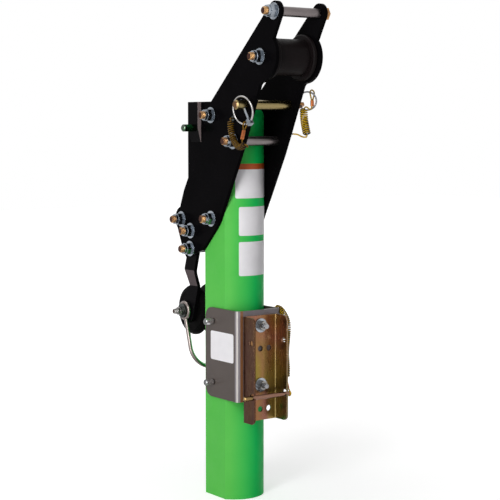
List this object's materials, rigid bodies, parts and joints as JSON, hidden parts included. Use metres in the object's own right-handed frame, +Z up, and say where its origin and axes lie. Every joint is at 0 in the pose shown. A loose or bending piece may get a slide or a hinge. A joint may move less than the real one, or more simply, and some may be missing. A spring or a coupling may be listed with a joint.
{
  "type": "davit crane",
  "caption": "Short davit mast with a side-plate head, head and rear rope rollers, wire bail, locking pin, clamp bracket and winch channel",
  "frame": {"origin": "middle of the mast tube's foot", "axes": "+Z up along the mast, -Y forward towards the head roller's overhang and the winch channel, +X to the side of the pull ring"},
  "size_m": [0.1667, 0.3385, 0.8385],
  "materials": {
    "green_tube": "satin green tube",
    "black_plug": "matte black",
    "black_plate": "glossy black powder coat",
    "bright_steel": "zinc plated",
    "bright_wire": "bright wire",
    "dull_wire": "dull wire",
    "dark_steel": "dark steel",
    "yellow_zinc_bolt": "yellow zinc",
    "yellow_zinc_pin": "yellow zinc",
    "yellow_zinc_channel": "iridescent yellow zinc",
    "copper_tone_pin": "warm zinc",
    "black_roller": "black nylon",
    "pale_bush": "pale nylon",
    "cord": "yellow coated cord",
    "copper": "copper crimp",
    "grey_paint": "warm grey paint",
    "orange_label": "orange and white label",
    "white_label": "bare white label"
  },
  "bodies": {
    "base": {"mast_tube": "green_tube", "mast_top_plug": "black_plug", "side_plate_left": "black_plate", "side_plate_right": "black_plate", "rear_tab": "black_plate", "tab_stud": "dark_steel", "plate_bolts": "yellow_zinc_bolt", "plate_washers": "bright_steel", "plate_nuts": "bright_steel", "top_tie_spacer": "bright_steel", "lower_tie_spacer": "bright_steel", "rear_guide_spacers": "dark_steel", "roller_axle_bolt": "yellow_zinc_bolt", "roller_axle_sleeve": "bright_steel", "rear_arm_left": "black_plate", "rear_arm_right": "black_plate", "rear_axle_bolt": "bright_steel", "rear_axle_sleeve": "bright_steel", "rear_axle_collars": "bright_steel", "rear_axle_washers": "bright_steel", "rear_axle_nut": "bright_steel", "lanyard_left": "cord", "lanyard_right": "cord", "lanyard_winch": "cord", "anchor_left": "dark_steel", "anchor_right": "dark_steel", "anchor_winch": "dark_steel", "clamp_bracket": "grey_paint", "bracket_bolts": "bright_steel", "bracket_washers": "bright_steel", "bracket_nuts": "bright_steel", "winch_channel": "yellow_zinc_channel", "channel_bolts": "bright_steel", "channel_washers": "bright_steel", "channel_nuts": "bright_steel", "label_band": "orange_label", "label_upper": "white_label", "label_lower": "white_label", "label_bracket": "white_label"},
    "head_roller": {"head_roller": "black_roller", "roller_bush_left": "pale_bush", "roller_bush_right": "pale_bush"},
    "rear_roller": {"rear_roller": "black_roller", "rear_roller_bushes": "pale_bush"},
    "bail": {"wire_bail": "bright_steel"},
    "lock_pin": {"lock_pin": "yellow_zinc_pin", "pull_ring": "dull_wire", "linch_pin": "bright_steel", "crimp_left": "copper", "crimp_right": "copper"},
    "linch_ring": {"linch_ring": "bright_wire"},
    "winch_pin": {"winch_pin": "copper_tone_pin", "crimp_winch": "copper"}
  },
  "joints": [
    {"name": "head_roller_spin", "type": "hinge", "parent": "base", "child": "head_roller", "pos_m": [0, -0.14, 0.752], "axis": [1, 0, 0], "continuous": true},
    {"name": "rear_roller_spin", "type": "hinge", "parent": "base", "child": "rear_roller", "pos_m": [0, 0.1, 0.314], "axis": [1, 0, 0], "continuous": true},
    {"name": "bail_swing", "type": "hinge", "parent": "base", "child": "bail", "pos_m": [0, 0.1, 0.314], "axis": [1, 0, 0], "range_deg": [-8, 180]},
    {"name": "lock_pin_slide", "type": "slide", "parent": "base", "child": "lock_pin", "axis": [1, 0, 0], "range_m": [-0.011, 0.0022], "deforming": ["lanyard_left", "lanyard_right"]},
    {"name": "linch_ring_swing", "type": "hinge", "parent": "lock_pin", "child": "linch_ring", "pos_m": [-0.05305, -0.11809, 0.64713], "axis": [0, -0.8319, 0.5549], "range_deg": [-5, 140], "deforming": ["lanyard_left"]},
    {"name": "winch_pin_slide", "type": "slide", "parent": "base", "child": "winch_pin", "axis": [1, 0, 0], "range_m": [0, 0.084], "deforming": ["lanyard_winch"]}
  ]
}
